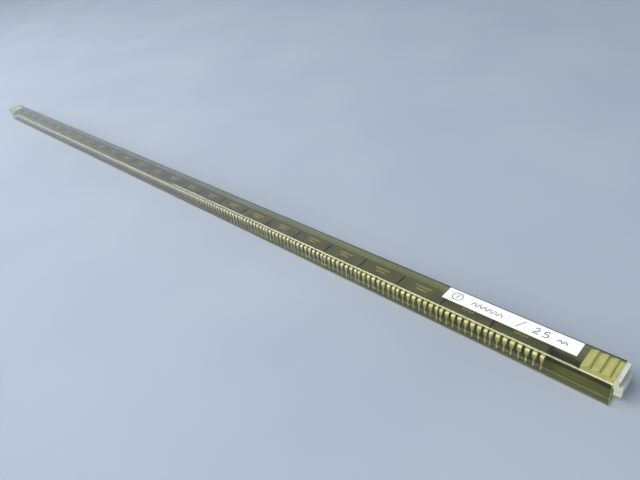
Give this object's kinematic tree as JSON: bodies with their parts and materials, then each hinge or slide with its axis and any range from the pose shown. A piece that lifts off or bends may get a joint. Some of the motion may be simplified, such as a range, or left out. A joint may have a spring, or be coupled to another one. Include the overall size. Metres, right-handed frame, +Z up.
{
  "type": "stick magazine of dual in-line packages",
  "caption": "Clear extruded antistatic tube holding a row of 16-lead dual in-line chips, closed at both ends by pull-out toothed rubber plugs.",
  "frame": {"origin": "middle of the tube's length and width, on the surface that its two feet lie on", "axes": "+X along the tube towards the labelled end, +Z up out of the labelled face, so +Y runs towards the edge that the label is nearer to"},
  "size_m": [0.5286, 0.0112, 0.0101],
  "materials": {
    "clear_pvc": "clear extruded antistatic PVC with a faint olive tint",
    "plug_rubber": "pale soft matte rubber",
    "epoxy": "matt black moulding epoxy",
    "tinned_leadframe": "tin-plated leadframe alloy",
    "paper": "plain white self-adhesive paper"
  },
  "bodies": {
    "tube": {"tube": "clear_pvc", "label": "paper"},
    "near_plug": {"near_plug": "plug_rubber"},
    "far_plug": {"far_plug": "plug_rubber"},
    "chip_01": {"chip_01_body": "epoxy", "chip_01_leads": "tinned_leadframe"},
    "chip_02": {"chip_02_body": "epoxy", "chip_02_leads": "tinned_leadframe"},
    "chip_03": {"chip_03_body": "epoxy", "chip_03_leads": "tinned_leadframe"},
    "chip_04": {"chip_04_body": "epoxy", "chip_04_leads": "tinned_leadframe"},
    "chip_05": {"chip_05_body": "epoxy", "chip_05_leads": "tinned_leadframe"},
    "chip_06": {"chip_06_body": "epoxy", "chip_06_leads": "tinned_leadframe"},
    "chip_07": {"chip_07_body": "epoxy", "chip_07_leads": "tinned_leadframe"},
    "chip_08": {"chip_08_body": "epoxy", "chip_08_leads": "tinned_leadframe"},
    "chip_09": {"chip_09_body": "epoxy", "chip_09_leads": "tinned_leadframe"},
    "chip_10": {"chip_10_body": "epoxy", "chip_10_leads": "tinned_leadframe"},
    "chip_11": {"chip_11_body": "epoxy", "chip_11_leads": "tinned_leadframe"},
    "chip_12": {"chip_12_body": "epoxy", "chip_12_leads": "tinned_leadframe"},
    "chip_13": {"chip_13_body": "epoxy", "chip_13_leads": "tinned_leadframe"},
    "chip_14": {"chip_14_body": "epoxy", "chip_14_leads": "tinned_leadframe"},
    "chip_15": {"chip_15_body": "epoxy", "chip_15_leads": "tinned_leadframe"},
    "chip_16": {"chip_16_body": "epoxy", "chip_16_leads": "tinned_leadframe"},
    "chip_17": {"chip_17_body": "epoxy", "chip_17_leads": "tinned_leadframe"},
    "chip_18": {"chip_18_body": "epoxy", "chip_18_leads": "tinned_leadframe"},
    "chip_19": {"chip_19_body": "epoxy", "chip_19_leads": "tinned_leadframe"},
    "chip_20": {"chip_20_body": "epoxy", "chip_20_leads": "tinned_leadframe"},
    "chip_21": {"chip_21_body": "epoxy", "chip_21_leads": "tinned_leadframe"},
    "chip_22": {"chip_22_body": "epoxy", "chip_22_leads": "tinned_leadframe"},
    "chip_23": {"chip_23_body": "epoxy", "chip_23_leads": "tinned_leadframe"},
    "chip_24": {"chip_24_body": "epoxy", "chip_24_leads": "tinned_leadframe"},
    "chip_25": {"chip_25_body": "epoxy", "chip_25_leads": "tinned_leadframe"}
  },
  "joints": [
    {"name": "near_plug_pull", "type": "slide", "parent": "tube", "child": "near_plug", "axis": [1, 0, 0], "range_m": [0, 0.012]},
    {"name": "far_plug_pull", "type": "slide", "parent": "tube", "child": "far_plug", "axis": [-1, 0, 0], "range_m": [0, 0.012]},
    {"name": "chip_01_slide", "type": "slide", "parent": "tube", "child": "chip_01", "axis": [1, 0, 0], "range_m": [-0.0054, 0.0097]},
    {"name": "chip_02_slide", "type": "slide", "parent": "tube", "child": "chip_02", "axis": [1, 0, 0], "range_m": [-0.0054, 0.0097]},
    {"name": "chip_03_slide", "type": "slide", "parent": "tube", "child": "chip_03", "axis": [1, 0, 0], "range_m": [-0.0054, 0.0097]},
    {"name": "chip_04_slide", "type": "slide", "parent": "tube", "child": "chip_04", "axis": [1, 0, 0], "range_m": [-0.0054, 0.0097]},
    {"name": "chip_05_slide", "type": "slide", "parent": "tube", "child": "chip_05", "axis": [1, 0, 0], "range_m": [-0.0054, 0.0097]},
    {"name": "chip_06_slide", "type": "slide", "parent": "tube", "child": "chip_06", "axis": [1, 0, 0], "range_m": [-0.0054, 0.0097]},
    {"name": "chip_07_slide", "type": "slide", "parent": "tube", "child": "chip_07", "axis": [1, 0, 0], "range_m": [-0.0054, 0.0097]},
    {"name": "chip_08_slide", "type": "slide", "parent": "tube", "child": "chip_08", "axis": [1, 0, 0], "range_m": [-0.0054, 0.0097]},
    {"name": "chip_09_slide", "type": "slide", "parent": "tube", "child": "chip_09", "axis": [1, 0, 0], "range_m": [-0.0054, 0.0097]},
    {"name": "chip_10_slide", "type": "slide", "parent": "tube", "child": "chip_10", "axis": [1, 0, 0], "range_m": [-0.0054, 0.0097]},
    {"name": "chip_11_slide", "type": "slide", "parent": "tube", "child": "chip_11", "axis": [1, 0, 0], "range_m": [-0.0054, 0.0097]},
    {"name": "chip_12_slide", "type": "slide", "parent": "tube", "child": "chip_12", "axis": [1, 0, 0], "range_m": [-0.0054, 0.0097]},
    {"name": "chip_13_slide", "type": "slide", "parent": "tube", "child": "chip_13", "axis": [1, 0, 0], "range_m": [-0.0054, 0.0097]},
    {"name": "chip_14_slide", "type": "slide", "parent": "tube", "child": "chip_14", "axis": [1, 0, 0], "range_m": [-0.0054, 0.0097]},
    {"name": "chip_15_slide", "type": "slide", "parent": "tube", "child": "chip_15", "axis": [1, 0, 0], "range_m": [-0.0054, 0.0097]},
    {"name": "chip_16_slide", "type": "slide", "parent": "tube", "child": "chip_16", "axis": [1, 0, 0], "range_m": [-0.0054, 0.0097]},
    {"name": "chip_17_slide", "type": "slide", "parent": "tube", "child": "chip_17", "axis": [1, 0, 0], "range_m": [-0.0054, 0.0097]},
    {"name": "chip_18_slide", "type": "slide", "parent": "tube", "child": "chip_18", "axis": [1, 0, 0], "range_m": [-0.0054, 0.0097]},
    {"name": "chip_19_slide", "type": "slide", "parent": "tube", "child": "chip_19", "axis": [1, 0, 0], "range_m": [-0.0054, 0.0097]},
    {"name": "chip_20_slide", "type": "slide", "parent": "tube", "child": "chip_20", "axis": [1, 0, 0], "range_m": [-0.0054, 0.0097]},
    {"name": "chip_21_slide", "type": "slide", "parent": "tube", "child": "chip_21", "axis": [1, 0, 0], "range_m": [-0.0054, 0.0097]},
    {"name": "chip_22_slide", "type": "slide", "parent": "tube", "child": "chip_22", "axis": [1, 0, 0], "range_m": [-0.0054, 0.0097]},
    {"name": "chip_23_slide", "type": "slide", "parent": "tube", "child": "chip_23", "axis": [1, 0, 0], "range_m": [-0.0054, 0.0097]},
    {"name": "chip_24_slide", "type": "slide", "parent": "tube", "child": "chip_24", "axis": [1, 0, 0], "range_m": [-0.0054, 0.0097]},
    {"name": "chip_25_slide", "type": "slide", "parent": "tube", "child": "chip_25", "axis": [1, 0, 0], "range_m": [-0.0054, 0.0097]}
  ],
  "couplings": [
    {"joint": "chip_02_slide", "follows": "chip_01_slide", "ratio": 1},
    {"joint": "chip_03_slide", "follows": "chip_01_slide", "ratio": 1},
    {"joint": "chip_04_slide", "follows": "chip_01_slide", "ratio": 1},
    {"joint": "chip_05_slide", "follows": "chip_01_slide", "ratio": 1},
    {"joint": "chip_06_slide", "follows": "chip_01_slide", "ratio": 1},
    {"joint": "chip_07_slide", "follows": "chip_01_slide", "ratio": 1},
    {"joint": "chip_08_slide", "follows": "chip_01_slide", "ratio": 1},
    {"joint": "chip_09_slide", "follows": "chip_01_slide", "ratio": 1},
    {"joint": "chip_10_slide", "follows": "chip_01_slide", "ratio": 1},
    {"joint": "chip_11_slide", "follows": "chip_01_slide", "ratio": 1},
    {"joint": "chip_12_slide", "follows": "chip_01_slide", "ratio": 1},
    {"joint": "chip_13_slide", "follows": "chip_01_slide", "ratio": 1},
    {"joint": "chip_14_slide", "follows": "chip_01_slide", "ratio": 1},
    {"joint": "chip_15_slide", "follows": "chip_01_slide", "ratio": 1},
    {"joint": "chip_16_slide", "follows": "chip_01_slide", "ratio": 1},
    {"joint": "chip_17_slide", "follows": "chip_01_slide", "ratio": 1},
    {"joint": "chip_18_slide", "follows": "chip_01_slide", "ratio": 1},
    {"joint": "chip_19_slide", "follows": "chip_01_slide", "ratio": 1},
    {"joint": "chip_20_slide", "follows": "chip_01_slide", "ratio": 1},
    {"joint": "chip_21_slide", "follows": "chip_01_slide", "ratio": 1},
    {"joint": "chip_22_slide", "follows": "chip_01_slide", "ratio": 1},
    {"joint": "chip_23_slide", "follows": "chip_01_slide", "ratio": 1},
    {"joint": "chip_24_slide", "follows": "chip_01_slide", "ratio": 1},
    {"joint": "chip_25_slide", "follows": "chip_01_slide", "ratio": 1}
  ]
}
